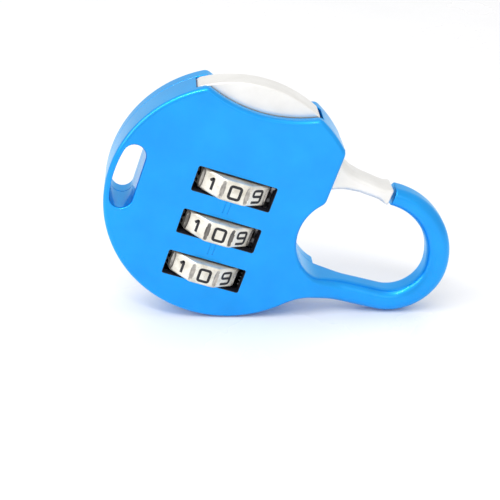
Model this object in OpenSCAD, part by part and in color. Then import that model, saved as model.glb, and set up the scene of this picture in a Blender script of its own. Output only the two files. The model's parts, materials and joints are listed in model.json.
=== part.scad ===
// Round combination padlock with a carabiner hook.
// A disc-shaped body holds three ten-sided number dials on one shaft. A lever with a
// thumb pad at one end and the hook's gate at the other closes a hook cast on the body.
// The lock is drawn in its own axes (X along the hook, Y from front to back, Z along the
// dial shaft, origin at the disc's centre) and then stood on its rim and its hook.

/* [Body] */
// Diameter of the round body
body_d = 43; // [41:0.5:52]
// Thickness of the body from front face to back face
body_t = 10.2; // [10:0.1:12.4]
// Depth of the back cover, from parting line to back face
cover_depth = 3.2; // [2.8:0.1:3.2]
// Thickness of the front plate
face_t = 1.6; // [1.4:0.1:2]
// Thickness of the back cover's plate
back_t = 1.4; // [1.2:0.1:1.8]
// Thickness of the rim
rim_t = 1.8; // [1.5:0.1:2.2]
// Thickness of the wall beside the hook's opening
side_t = 1.5; // [1.2:0.1:1.8]
// Rounding of the outer edges of both shells
edge_r = 0.8; // [0.4:0.1:1.2]
// Depth of the thumb scoop below the rim
scoop_depth = 4.5; // [3.5:0.1:5]
// Radius of the thumb scoop
scoop_r = 23; // [20:0.5:30]
// Sideways place of the scoop's lowest point
scoop_u = -0.9; // [-1.5:0.1:0]

/* [Hook] */
// Distance from the rim to the centre of the hook's bend
hook_reach = 9.6; // [8:0.1:12]
// Drop of the bend's centre below the body's centre
hook_drop = 2.1; // [1.5:0.1:3]
// Inner radius of the hook's bend
bend_r = 6.2; // [5:0.1:7]
// Width of the hook at its bend
hook_w = 4.2; // [3.6:0.1:4.8]
// Width of the hook at its nose
nose_w = 3.3; // [2.8:0.1:3.8]
// Depth of the hook and its gate, front to back
hook_t = 5.2; // [4.6:0.1:5.4]
// Radius of the fillet where the hook leaves the rim
root_r = 6; // [4:0.5:8]

/* [Key ring slot] */
// Width of the slot
slot_w = 4.3; // [3.5:0.1:5]
// Length of the slot
slot_l = 11.7; // [9:0.1:13]
// Width of the strip between slot and rim
slot_strip = 1; // [0.9:0.1:1.5]
// Wall between slot and inside of the body
slot_wall = 1.1; // [0.9:0.1:1.5]

/* [Dials] */
// Height that a dial's flats stand above the body's faces
dial_proud = 1.7; // [1.3:0.1:2]
// Width of a dial along the shaft
dial_w = 3.8; // [3:0.1:4]
// Free space between two dials
dial_gap = 4.35; // [4.3:0.05:4.6]
// Height of the first dial's centre above the body's centre
dial_top = 3.3; // [2.5:0.1:3.5]
// Sideways place of the dial shaft
dial_u = -0.45; // [-1:0.05:0.5]
// Clearance between a dial and its window on each side
window_gap = 0.35; // [0.25:0.05:0.5]
// Diameter of the dial shaft
shaft_d = 2.6; // [2:0.1:3.2]
// Travel of the shaft when the code is reset
reset_travel = 0.6; // [0.5:0.05:0.65]

/* [Lever] */
// Diameter of the lever's pin
pin_d = 2; // [1.6:0.1:2.4]
// Distance of the pin's centre inside the rim
pin_inset = 3.15; // [3:0.05:3.6]
// Direction of the pin from the body's centre, in degrees
pin_dir = 119.4; // [117:0.2:122]
// Gap between the gate's tip and the hook's nose
gate_gap = 0.6; // [0.4:0.1:0.9]

/* [Clearances] */
// Radial running clearance of pins and shafts
run_gap = 0.05; // [0.02:0.01:0.1]
// Clearance of the lever against both shells
lever_gap = 0.3; // [0.2:0.05:0.4]

/* [Hidden] */
$fn = 96;

blue = "#2ba9f4";
silver = "#d9d8d3";
steel = "#9a9da1";
cream = "#e6e2d3";
far = 100;       // reach of a cut that only has to pass the part
eps = 0.2;       // depth by which ribs and posts sink into their plate
cut = 1;         // how far a cut runs past the face it opens

// Shells, along Y
body_r = body_d / 2;
y_front = -body_t / 2;
y_back = body_t / 2;
y_inner = y_front + face_t;
y_split = y_back - cover_depth;
y_cover = y_back - back_t;
cover_gap = 0.2;              // the lever stays this far in front of the parting line
lever_y0 = y_inner + lever_gap;
lever_y1 = y_split - cover_gap;
hook_y0 = y_split - hook_t;

// Opening beside the body
side_u = 15.4 / 21.5 * body_r;
loop_r = 8.35;
loop_c = [body_r - 0.3, -0.8];
passage_high = 13.25 / 21.5 * body_r;   // top of the lever's passage in the side wall

// Hook
hook_c = [body_r + hook_reach, -hook_drop];
bend_out = bend_r + hook_w;
arm_tilt = 3;                 // the lower arm falls away from the bend by this angle
arm_a = arm_tilt - 90;        // where the lower arm meets the bend
nose_a = 10;                  // where the bend opens out into the nose
nose_end = 91;                // direction of the nose's end on its arcs
nose_slant = 4.2;             // extra sweep of the nose's outer edge
nose_dir = [cos(nose_a), sin(nose_a)];
nose_top = 9.2 + nose_w / 2;
nose_out_r = (nose_top - hook_c[1] - bend_out * nose_dir[1]) / (1 - nose_dir[1]);
nose_in_r = (nose_top - nose_w - hook_c[1] - bend_r * nose_dir[1]) / (1 - nose_dir[1]);
nose_out_c = hook_c + (bend_out - nose_out_r) * nose_dir;
nose_in_c = hook_c + (bend_r - nose_in_r) * nose_dir;
arm_along = [cos(arm_tilt), sin(arm_tilt)];
arm_down = [sin(arm_tilt), -cos(arm_tilt)];
root_sink = 0.2;              // the fillet cuts a little way into the rim
root_line = hook_c + (bend_out + root_r) * arm_down;
root_b = root_line * arm_along;
root_c = root_line + arm_along
    * (-root_b + sqrt(root_b * root_b - root_line * root_line
        + pow(body_r + root_r - root_sink, 2)));
root_a = atan2(-root_c[1], -root_c[0]);
root_u = 12.5 / 21.5 * body_r;
root_flush = 17.5 / 21.5 * body_r;
root_fade = root_flush + 6;
root_step = 0.3;              // the root lies this far behind the front face
root_top = loop_c[1] - 4;     // below this the body is solid round the root
root_in = [root_u + 0.5, -0.62 * body_r];   // the root's lower corner inside the rim

// Standing pose: rim and bend both touch the ground
stand_l = norm(hook_c);
stand_a = asin((body_r - bend_out) / stand_l) + atan2(hook_c[1], hook_c[0]);
stand_right = hook_c[0] * cos(stand_a) + hook_c[1] * sin(stand_a) + bend_out;
stand_shift = (body_r - stand_right) / 2;

// Dials
dial_n = 10;
dial_in_r = body_t / 2 + dial_proud;
dial_out_r = dial_in_r / cos(180 / dial_n);
dial_pitch = dial_w + dial_gap;
notch_r = 0.5;
notch_at = dial_out_r + 0.1;
window_h = dial_w + 2 * window_gap;
window_l = 2 * dial_in_r + 0.2;
mark_w = 0.85;
mark_l = 2;
mark_drop = 1;                // distance from the window to its index mark
mark_depth = 0.3;
shaft_r = shaft_d / 2;
sleeve_t = 0.65;
sleeve_r = shaft_r + run_gap + sleeve_t;
bore_r = sleeve_r + run_gap;
flange_r = 3;
spline_r = sleeve_r + 0.95;
spline_w = 0.9;
lug_w = 0.6;
lug_h = 0.9;
lug_gap = 0.15;
lug_engage = 0.5;
counterbore = 2;

// Stack in the space above each dial, measured down from the next dial or window
finger_t = 0.9;
finger_rest = 0.3;
flange_drop = finger_rest + finger_t + reset_travel + 0.15;
flange_t = 0.8;
flange_pass = 0.35;
bar_travel = flange_drop - finger_rest + flange_t + flange_pass;
finger_w = 1.8;
finger_reach = sleeve_r + 0.35;
notch_w = finger_w + 0.5;
function dial_z(i) = dial_top - i * dial_pitch;
function gap_top(i) = dial_z(i) + dial_w / 2 + dial_gap;
function flange_z(i) = gap_top(i) - flange_drop;
seat = 0.05;                  // end play between stacked pieces
stack_end = flange_z(2) - dial_pitch + seat;
clip_t = 0.4;
clip_r = sleeve_r + 0.1;
low_clip = stack_end - seat - clip_t;
low_rib = low_clip - seat;
low_rib_t = 0.9;
plunger_top = low_rib - low_rib_t - reset_travel - 0.1;
plunger_r = shaft_r + 0.3;
plunger_recess = 0.3;
plunger_gap = 0.15;
plunger_floor = 1;            // the shaft starts this far above the rim's lowest point
dimple_r = 0.6;
dimple_depth = 0.4;
clip_open = 0.8;              // opening of a clip, as a share of the shaft
top_clip = flange_z(0) + seat;
top_rib = gap_top(0) + seat;
top_rib_t = 1.2;
rib_wall = 0.6;

// Locking bar
bar_u = dial_u + dial_out_r + 0.4;
bar_w = 1.5;
bar_low = gap_top(2) - finger_rest - finger_t - 1.5;
tail_r = 0.45;
tail_l = bar_travel + 0.6;
bar_spring_l = tail_l + 3.7;
bar_clear = dial_z(0) + 1;    // above this the lever's arm passes behind the bar
seat_t = 0.85;
seat_side = 0.5;
guide_gap = 0.1;
guide_w = 0.6;
guide_h = 0.8;

// Lever
pin_r = pin_d / 2;
pin_c = (body_r - pin_inset) * [cos(pin_dir), sin(pin_dir)];
pin_boss = 1.2;               // wall round the pin's seat in the cover
pin_sink = 0.95;              // depth of the pin in the front plate
pad_r = body_r - 0.05;
pad_left = pin_c[0] - 2.2;
pad_right = 9.3 / 21.5 * body_r;
pad_gap = 0.7;
heel = [pad_left, sqrt(pad_r * pad_r - pad_left * pad_left)];
heel_r = norm(heel - pin_c);
heel_a = atan2(heel[1] - pin_c[1], heel[0] - pin_c[0]);
belly = pin_c[1] - 2.6;       // underside of the lever above the shaft
press_u = dial_u + 5.55;      // nose of the lever that drives the locking bar
press_w = 1;
press_z = gap_top(0) - finger_rest + 0.15;
step_u = bar_u + bar_w + 1.7; // underside steps down to the gate beyond the bar
step_z = pin_c[1] - 5;
gate_z = 7.3;                 // underside of the gate where it leaves the body
gate_top = 10.75;
tip_low = nose_in_c + nose_in_r * [cos(nose_end), sin(nose_end)] - [gate_gap, -0.1];
tip_high = nose_out_c + nose_out_r * [cos(nose_end + nose_slant), sin(nose_end + nose_slant)]
    - [gate_gap, 0.1];
passage_low = 1.9;
spring_pocket = pin_r + 1.4;
spring_pocket_t = 1.5;

// Fasteners
rivet_dirs = [141, 226, 316];
rivet_inset = 4.6;
rivet_r = 0.9;
post_r = 2;
head_r = 1.6;
head_t = 0.4;
rivet_seat = 1;               // the rivets start this far into the posts
leaf_t = 0.2;
leaf_w = 2.6;
leaf_end = 0.3;
bump_r = 0.35;
bump_rib = 0.8 * bump_r;      // half the thickness of the rib behind a tooth
bump_end = 0.5;
leaf_u = dial_u - notch_at - 0.65;
leaf_post = 2.2;
screw_r = 0.5;
screw_l = 2;
screw_head_r = 0.9;
screw_head_t = 0.5;
driver_w = 0.24;
function screw_z(i) = gap_top(i + 1) - dial_gap / 2;

// Coil springs
rings_per_turn = 18;
lever_wire = 0.12;
lever_coil_r = pin_r + 0.6;
bar_wire = 0.125;
bar_coil_r = 0.75;
shaft_wire = 0.14;
shaft_coil_r = shaft_r + 0.35;
coil_play = 0.05;

// Points on an arc from angle a0 to angle a1
function arc(c, r, a0, a1, steps) =
    [for (i = [0:steps]) let (a = a0 + (a1 - a0) * i / steps) c + r * [cos(a), sin(a)]];

// Stands the lock on its rim and its hook, centred over the origin
module stand() {
    translate([stand_shift, 0, body_r])
        rotate([0, stand_a, 0])
            children();
}

// Extrudes a face view (X to the right, Z up) from y0 back to y1
module slab(y0, y1) {
    translate([0, y1, 0])
        rotate([90, 0, 0])
            linear_extrude(y1 - y0)
                children();
}

// Coil of wire around Z, from z = 0 to height, with optional straight ends
module coil(mean_r, wire_r, height, turns, leg = 0) {
    sides = 8;
    steps = round(turns * rings_per_turn);
    rise = height - 2 * wire_r;
    // each ring: centre, outward direction
    body = [for (i = [0:steps]) let (a = 360 * turns * i / steps)
        [[mean_r * cos(a), mean_r * sin(a), wire_r + rise * i / steps],
            [cos(a), sin(a), 0]]];
    a1 = 360 * turns;
    first = leg == 0 ? [] : [[body[0][0] + [0, -leg, 0], body[0][1]]];
    last = leg == 0 ? [] : [[body[steps][0] + leg * [-sin(a1), cos(a1), 0], body[steps][1]]];
    rings = concat(first, body, last);
    n = len(rings);
    points = [for (r = rings) for (k = [0:sides - 1]) let (b = 360 * k / sides)
        r[0] + wire_r * (cos(b) * r[1] + sin(b) * [0, 0, 1])];
    walls = [for (i = [0:n - 2]) for (k = [0:sides - 1]) let (j = (k + 1) % sides)
        [i * sides + k, i * sides + j, (i + 1) * sides + j, (i + 1) * sides + k]];
    ends = [[for (k = [sides - 1:-1:0]) k], [for (k = [0:sides - 1]) (n - 1) * sides + k]];
    polyhedron(points, concat(walls, ends), convexity = 10);
}

// Space beside the body that the hook encloses, grown by g
module loop_space(g = 0) {
    translate(loop_c)
        circle(loop_r + g);
    translate([side_u - g, loop_c[1]])
        square([far, far]);
}

// Key ring slot, grown by g; its outer side follows the rim
module ring_slot(g = 0) {
    corner = 2;
    right = -body_r + slot_strip + slot_w;
    half = slot_l / 2;
    intersection() {
        circle(body_r - slot_strip + g);
        union() {
            translate([right - far, -half - g])
                square([far - corner, slot_l + 2 * g]);
            translate([right - 2 * corner, corner - half - g])
                square([2 * corner + g, slot_l - 2 * corner + 2 * g]);
        }
    }
    for (s = [-1, 1])
        translate([right - corner, s * (half - corner)])
            circle(corner + g);
}

// Thumb scoop in the top of both shells
module scoop(g = 0) {
    translate([scoop_u, body_r - scoop_depth + scoop_r])
        circle(scoop_r + g);
}

// Inside of the shells as seen from the front
module inside() {
    difference() {
        circle(body_r - rim_t);
        loop_space(side_t);
        ring_slot(slot_wall);
        // the hook's root is solid
        translate([root_u, -far])
            square([far, far + root_top]);
    }
}

// Disc from y0 to y1 with its edge rounded at the front (side = -1) or back (side = 1)
module disc(y0, y1, side) {
    h = y1 - y0;
    translate([0, side < 0 ? y0 : y1, 0])
        rotate([side < 0 ? -90 : 90, 0, 0])
            rotate_extrude()
                polygon(concat([[0, 0]],
                    arc([body_r - edge_r, edge_r], edge_r, -90, 0, 6),
                    [[body_r, h], [0, h]]));
}

module at_pin() {
    translate([pin_c[0], 0, pin_c[1]])
        children();
}

module windows(y0, y1) {
    for (i = [0:2])
        translate([dial_u - window_l / 2, y0, dial_z(i) - window_h / 2])
            cube([window_l, y1 - y0, window_h]);
}

module at_rivets() {
    for (a = rivet_dirs)
        translate([(body_r - rivet_inset) * cos(a), 0, (body_r - rivet_inset) * sin(a)])
            children();
}

// Cylinder along Y from y0 to y1
module rod(r, y0, y1) {
    translate([0, y0, 0])
        rotate([-90, 0, 0])
            cylinder(r = r, h = y1 - y0);
}

// Outline of the hook from its root in the body to its nose
module hook_outline() {
    polygon(concat(
        [root_in],
        arc(root_c, root_r, root_a, 90 + arm_tilt, 8),
        arc(hook_c, bend_out, arm_a, nose_a, 20),
        arc(nose_out_c, nose_out_r, nose_a, nose_end + nose_slant, 16),
        arc(nose_in_c, nose_in_r, nose_end, nose_a, 16),
        arc(hook_c, bend_r, nose_a, arm_a, 20),
        [[root_in[0], hook_c[1] - bend_r - (hook_c[0] - root_u) * tan(arm_tilt)]]));
}

// Front half of the hook's root, which fades back from the front face
module root_front() {
    intersection() {
        slab(y_front, hook_y0 + eps)
            difference() {
                hook_outline();
                translate([root_fade, -far])
                    square(2 * far);
            }
        translate([0, 0, -far / 2])
            linear_extrude(far)
                polygon([[root_u, y_front + root_step], [root_flush, y_front + root_step],
                    [root_fade, hook_y0], [root_fade, hook_y0 + eps],
                    [root_u, hook_y0 + eps]]);
    }
}

// Room that the lever sweeps through the rim and the side wall
module lever_room() {
    y1 = y_split + eps;
    slab(y_inner, y1) {
        translate(pin_c)
            circle(heel_r + lever_gap);
        translate([pad_left - lever_gap, pin_c[1]])
            square([pad_right + pad_gap - pad_left + lever_gap, far]);
    }
    slab(lever_y0 - cover_gap, y1)
        translate([side_u - 3 * side_t, passage_low])
            square([3 * side_t + cut, passage_high - passage_low]);
}

module front_housing() {
    color(blue)
        difference() {
            union() {
                difference() {
                    shell_with_hook();
                    slab(y_inner, y_split + cut)
                        inside();
                    slab(y_front - cut, y_inner + eps)
                        scoop();
                    lever_room();
                }
                housing_posts();
            }
            windows(y_front - cut, y_inner + eps);
            slab(y_front - cut, y_split + cut)
                ring_slot();
            index_marks();
            housing_bores();
        }
}

// Front disc, cut away beside the hook's opening, with the hook cast on it
module shell_with_hook() {
    difference() {
        disc(y_front, y_split, -1);
        slab(y_front - cut, y_split + cut)
            loop_space();
    }
    slab(hook_y0, y_split)
        hook_outline();
    root_front();
}

// Posts and ribs inside the housing
module housing_posts() {
    y0 = y_inner - eps;
    at_rivets()
        rod(post_r, y0, y_split);
    translate([dial_u - shaft_r - rib_wall, y0, top_rib])
        cube([shaft_d + 2 * rib_wall, y_split - y0, top_rib_t]);
    translate([dial_u - shaft_r - rib_wall, y0, low_rib - low_rib_t])
        cube([shaft_d + 2 * rib_wall, y_split - y0, low_rib_t]);
    // seat under the locking bar's spring
    translate([bar_u - seat_side, y0, bar_low - bar_spring_l - coil_play - seat_t])
        cube([bar_w + 2 * seat_side, bar_w - y0, seat_t]);
    // guides on both sides of the locking bar
    for (u = [bar_u - guide_gap - guide_w, bar_u + bar_w + guide_gap])
        translate([u, y0, bar_low])
            cube([guide_w, guide_h + eps, bar_clear - bar_low]);
    // posts that carry the detent spring
    for (i = [0:1])
        translate([leaf_u - leaf_post, y0, screw_z(i) - leaf_post / 2])
            cube([leaf_post, y_split - y0, leaf_post]);
}

module housing_bores() {
    at_rivets()
        rod(rivet_r, y_inner + rivet_seat, y_split + cut);
    at_pin()
        rod(pin_r, y_inner - pin_sink - seat, y_inner + cut);
    translate([dial_u, 0, low_rib - low_rib_t - cut])
        cylinder(r = shaft_r + run_gap, h = far);
    translate([dial_u, 0, -far])
        cylinder(r = plunger_r + plunger_gap, h = far + low_rib - low_rib_t - seat);
    for (i = [0:1])
        translate([leaf_u - screw_l, 0, screw_z(i)])
            rotate([0, 90, 0])
                cylinder(r = screw_r, h = screw_l + cut);
}

// Short engraved lines that mark the reading place of the dials
module index_marks() {
    for (i = [0:1])
        translate([dial_u - 0.7, y_front - cut, dial_z(i) - window_h / 2 - mark_drop - mark_l])
            cube([mark_w, cut + mark_depth, mark_l]);
}

module back_cover() {
    color(blue)
        difference() {
            union() {
                difference() {
                    disc(y_split, y_back, 1);
                    slab(y_split - cut, y_cover)
                        difference() {
                            inside();
                            scoop(rim_t);
                        }
                }
                at_pin()
                    rod(pin_r + pin_boss, y_split, y_cover + eps);
                at_rivets()
                    rod(post_r, y_split, y_cover + eps);
            }
            slab(y_split - cut, y_back + cut) {
                loop_space();
                scoop();
                ring_slot();
            }
            windows(y_cover - eps, y_back + cut);
            at_pin()
                rod(pin_r, y_split - cut, y_cover + back_t / 2);
            at_rivets()
                rod(rivet_r + run_gap, y_split - cut, y_back + cut);
        }
}

// Outline of the lever: heel round the pin, thumb pad, arm and gate
module lever_outline() {
    wall_u = side_u + 0.7;        // the gate starts here, just outside the side wall
    span = tip_low[0] - wall_u;
    polygon(concat(
        arc([0, 0], pad_r, acos(pad_right / pad_r), acos(pad_left / pad_r), 24),
        arc(pin_c, heel_r, heel_a, 290, 16),
        [[press_u - press_w / 2 - 0.2, belly], [press_u - press_w / 2, press_z],
            [press_u + press_w / 2, press_z], [press_u + press_w / 2 + 0.5, step_z],
            [step_u, step_z], [step_u + 2.3, gate_z + 0.3], [wall_u, gate_z],
            [wall_u + 0.22 * span, gate_z + 0.65], [wall_u + 0.46 * span, gate_z + 0.9],
            [wall_u + 0.78 * span, gate_z + 0.7], tip_low, tip_high,
            [wall_u + 0.75 * span, gate_top + 0.05], [wall_u + 0.4 * span, gate_top + 0.45],
            [wall_u + 0.2 * span, gate_top + 0.9], [wall_u, gate_top + 1.9],
            [side_u - side_t, passage_high - 0.25], [side_u - side_t - 2, passage_high + 1.25],
            [pad_right + 0.4, passage_high + 2.75], [pad_right, passage_high + 3.25]]));
}

module lever() {
    color(silver)
        difference() {
            slab(lever_y0, lever_y1)
                lever_outline();
            at_pin() {
                rod(pin_r + run_gap, lever_y0 - cut, lever_y1 + cut);
                rod(spring_pocket, lever_y0 - cut, lever_y0 + spring_pocket_t);
            }
        }
}

module lever_pin() {
    color(steel)
        at_pin()
            rod(pin_r, y_inner - pin_sink, y_cover + back_t / 2 - seat);
}

module lever_spring() {
    color(steel)
        translate([pin_c[0], lever_y0 + coil_play, pin_c[1]])
            rotate([-90, 0, 0])
                coil(lever_coil_r, lever_wire, spring_pocket_t - 3 * coil_play, 3.25, 1);
}

module locking_bar() {
    color(steel) {
        top = gap_top(0) - finger_rest;
        difference() {
            translate([bar_u, y_inner + guide_gap, bar_low])
                cube([bar_w, y_cover - y_inner - 2 * guide_gap, top - bar_low]);
            // the bar is cut back where the cover comes down behind the lever
            translate([bar_u - cut, lever_y1 + lever_gap, bar_clear])
                cube([bar_w + 2 * cut, far, far]);
        }
        for (i = [0:2])
            translate([dial_u + finger_reach, -finger_w / 2, gap_top(i) - finger_rest - finger_t])
                cube([bar_u + bar_w / 2 - dial_u - finger_reach, finger_w, finger_t]);
        translate([bar_u + bar_w / 2, 0, bar_low - tail_l])
            cylinder(r = tail_r, h = tail_l + eps);
    }
}

module bar_spring() {
    color(steel)
        translate([bar_u + bar_w / 2, 0, bar_low - bar_spring_l])
            coil(bar_coil_r, bar_wire, bar_spring_l - coil_play, 9);
}

module dial_shaft() {
    color(steel)
        translate([dial_u, 0, plunger_floor - body_r])
            cylinder(r = shaft_r, h = top_rib + top_rib_t / 2 + body_r - plunger_floor);
}

// Ring with an open side that snaps on the shaft
module clip(z) {
    translate([dial_u, 0, z])
        difference() {
            cylinder(r = clip_r, h = clip_t);
            translate([0, 0, -cut])
                cylinder(r = shaft_r, h = clip_t + 2 * cut);
            translate([-far, -shaft_r * clip_open, -cut])
                cube([far, 2 * shaft_r * clip_open, clip_t + 2 * cut]);
        }
}

module shaft_clips() {
    color(steel) {
        clip(top_clip);
        clip(low_clip);
    }
}

module shaft_spring() {
    z = top_clip + clip_t + seat;
    color(steel)
        translate([dial_u, 0, z])
            coil(shaft_coil_r, shaft_wire, top_rib - seat - z, 2.5);
}

module reset_plunger() {
    z0 = -body_r + plunger_recess;
    color(silver)
        translate([dial_u, 0, z0])
            difference() {
                cylinder(r = plunger_r, h = plunger_top - z0);
                translate([0, 0, plunger_floor - plunger_recess])
                    cylinder(r = shaft_r, h = far);
                // dimple for the tip of a pen
                translate([0, 0, -seat])
                    cylinder(r1 = dimple_r, r2 = dimple_r / 2, h = dimple_depth);
            }
}

// Ten-sided number ring with a detent notch at every corner
module dial(i) {
    color(cream)
        translate([dial_u, 0, dial_z(i) - dial_w / 2])
            difference() {
                cylinder(r = dial_out_r, h = dial_w, $fn = dial_n);
                translate([0, 0, -cut])
                    cylinder(r = bore_r, h = dial_w + 2 * cut);
                translate([0, 0, dial_w - counterbore])
                    cylinder(r = spline_r + run_gap, h = dial_w);
                for (k = [0:dial_n - 1])
                    rotate([0, 0, k * 360 / dial_n]) {
                        translate([notch_at, 0, -cut])
                            cylinder(r = notch_r, h = dial_w + 2 * cut);
                        rotate([0, 0, 180 / dial_n])
                            translate([0, -spline_w / 2, -cut])
                                cube([spline_r, spline_w, dial_w + cut - counterbore / 2]);
                    }
            }
}

module dial_1() {
    dial(0);
}

module dial_2() {
    dial(1);
}

module dial_3() {
    dial(2);
}

// Sleeve on the shaft with a notched locking flange above its dial and two drive lugs
module tumbler(i) {
    top = flange_z(i);
    lug_z = dial_z(i) + dial_w / 2 - counterbore - lug_engage;
    color(steel)
        translate([dial_u, 0, 0])
            difference() {
                union() {
                    translate([0, 0, top - dial_pitch + seat])
                        cylinder(r = sleeve_r, h = dial_pitch - seat);
                    difference() {
                        translate([0, 0, top - flange_t])
                            cylinder(r = flange_r, h = flange_t);
                        translate([sleeve_r - run_gap, -notch_w / 2, top - flange_t - cut])
                            cube([far, notch_w, flange_t + 2 * cut]);
                    }
                    translate([-lug_w / 2, lug_gap - spline_r, lug_z])
                        cube([lug_w, 2 * (spline_r - lug_gap), lug_h]);
                }
                translate([0, 0, top - dial_pitch - cut])
                    cylinder(r = shaft_r + run_gap, h = dial_pitch + 2 * cut);
            }
}

module tumbler_1() {
    tumbler(0);
}

module tumbler_2() {
    tumbler(1);
}

module tumbler_3() {
    tumbler(2);
}

// Leaf spring along the dials, with a rounded tooth in a notch of each dial
module detent_spring() {
    color(steel)
        difference() {
            union() {
                translate([leaf_u, -leaf_w / 2, dial_z(2) - dial_w / 2 + leaf_end])
                    cube([leaf_t, leaf_w, 2 * (dial_pitch - leaf_end) + dial_w]);
                for (i = [0:2])
                    translate([dial_u - notch_at, 0, dial_z(i) - dial_w / 2 + bump_end]) {
                        cylinder(r = bump_r, h = dial_w - 2 * bump_end);
                        translate([leaf_u - dial_u + notch_at, -bump_rib, 0])
                            cube([dial_u - notch_at - leaf_u, 2 * bump_rib, dial_w - 2 * bump_end]);
                    }
            }
            for (i = [0:1])
                translate([leaf_u - cut, 0, screw_z(i)])
                    rotate([0, 90, 0])
                        cylinder(r = screw_r + run_gap, h = 2 * cut);
        }
}

module detent_screws() {
    color(steel)
        for (i = [0:1])
            translate([leaf_u + leaf_t, 0, screw_z(i)])
                rotate([0, 90, 0])
                    difference() {
                        union() {
                            cylinder(r = screw_head_r, h = screw_head_t);
                            translate([0, 0, 2 * seat - screw_l])
                                cylinder(r = screw_r, h = screw_l);
                        }
                        translate([-far / 2, -driver_w / 2, screw_head_t / 2])
                            cube([far, driver_w, screw_head_t]);
                    }
}

module cover_rivets() {
    color(silver)
        at_rivets() {
            rod(rivet_r, y_inner + rivet_seat + 2 * seat, y_back + head_t / 2);
            translate([0, y_back, 0])
                rotate([-90, 0, 0])
                    cylinder(r1 = head_r, r2 = head_r - head_t, h = head_t);
        }
}

stand() front_housing();
stand() back_cover();
stand() lever();
stand() lever_pin();
stand() lever_spring();
stand() locking_bar();
stand() bar_spring();
stand() dial_shaft();
stand() shaft_clips();
stand() shaft_spring();
stand() reset_plunger();
stand() dial_1();
stand() dial_2();
stand() dial_3();
stand() tumbler_1();
stand() tumbler_2();
stand() tumbler_3();
stand() detent_spring();
stand() detent_screws();
stand() cover_rivets();
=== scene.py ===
import json
import math

import bpy
import numpy as np
from mathutils import Matrix, Vector
from mathutils.geometry import tessellate_polygon


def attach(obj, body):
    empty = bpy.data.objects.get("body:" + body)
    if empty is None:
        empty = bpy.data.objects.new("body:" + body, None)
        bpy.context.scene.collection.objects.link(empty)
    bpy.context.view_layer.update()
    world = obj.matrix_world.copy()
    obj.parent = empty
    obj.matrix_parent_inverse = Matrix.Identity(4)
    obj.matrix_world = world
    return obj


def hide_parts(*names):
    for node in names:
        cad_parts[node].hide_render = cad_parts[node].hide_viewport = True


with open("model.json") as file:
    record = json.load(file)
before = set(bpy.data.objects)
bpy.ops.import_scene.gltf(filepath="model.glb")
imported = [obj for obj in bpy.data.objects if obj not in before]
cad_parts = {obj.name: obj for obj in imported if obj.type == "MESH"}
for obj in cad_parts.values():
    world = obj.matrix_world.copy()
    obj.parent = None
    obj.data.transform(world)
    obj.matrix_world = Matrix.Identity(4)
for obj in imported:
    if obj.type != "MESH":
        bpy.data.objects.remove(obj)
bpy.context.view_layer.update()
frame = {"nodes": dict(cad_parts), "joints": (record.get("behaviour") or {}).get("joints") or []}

# All shapes are drawn in the lock's own axes, in millimetres: u along the hook, w up the
# dial shaft, y from front to back, with the origin at the disc's centre.

# Shells
BODY_R = 21.5
Y_FRONT, Y_INNER, Y_SPLIT, Y_COVER, Y_BACK = -5.1, -3.5, 1.9, 3.7, 5.1
RIM_T = 1.8
SIDE_T = 1.5
EDGE = 0.8               # rounding of both shells' outer edges
SEAM = 0.16              # small rounding where the two shells meet
SIDE_U = 15.4
LOOP_C, LOOP_R = (21.2, -0.8), 8.35
SCOOP_C, SCOOP_R = (-0.9, 40.0), 23.0
PASSAGE_LOW, PASSAGE_HIGH = 1.9, 13.25
CAVITY_R = BODY_R - RIM_T
ROOT_U = 12.5            # right of this the housing is solid round the hook's root

# Key-ring slot
SLOT_RIGHT, SLOT_HALF, SLOT_CORNER = -16.2, 5.85, 2.0
SLOT_OUT_R = 20.5
SLOT_WALL = 1.1
SLOT_EDGE, STRIP_EDGE = 0.45, 0.14

# Hook
HOOK_C = (31.1, -2.1)
BEND_IN, BEND_OUT = 6.2, 10.39
ARM_TILT = 3.0
NOSE_A, NOSE_END, NOSE_SLANT = 10.0, 90.4, 4.2
NOSE_IN_C, NOSE_IN_R = (26.989, -2.825), 10.375
NOSE_OUT_C, NOSE_OUT_R = (28.061, -2.636), 13.476
ROOT_R = 6.0
HOOK_Y0 = -3.3
HOOK_EDGE = 1.75
NOSE_TAPER, NOSE_BULGE = 0.16, 0.22
FADE_START, FADE_END = 16.0, 25.0

# Dials
DIAL_U = -0.45
DIAL_W = [3.3, -4.85, -13.0]
DIAL_H = 3.8
DIAL_SIDES = 10
DIAL_IN_R = 6.77         # to the flats, with room for the ink
DIAL_BORE = 2.05
DIAL_CHAMFER = 0.28
GROOVE_DEPTH, GROOVE_HALF, GROOVE_REACH = 0.5, 0.4, 1.7
WINDOW_L, WINDOW_H = 13.8, 4.5
DIGIT_W, DIGIT_H, STROKE = 1.85, 2.2, 0.48
INK_T = 0.05

# Ribs inside the front housing: left, bottom, right, top, and the depth they reach
RIB_HALF = 1.9
RIBS = [((DIAL_U - RIB_HALF, 9.6, DIAL_U + RIB_HALF, 10.8), Y_SPLIT),       # upper shaft rib
        ((DIAL_U - RIB_HALF, -18.2, DIAL_U + RIB_HALF, -17.3), Y_SPLIT),    # lower shaft rib
        ((6.6, -17.45, 9.1, -16.6), 1.5),                                  # seat of the bar's spring
        ((6.4, -9.45, 7.0, 4.3), -2.7),                                    # guides of the locking bar
        ((8.7, -9.45, 9.3, 4.3), -2.7)]

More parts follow.
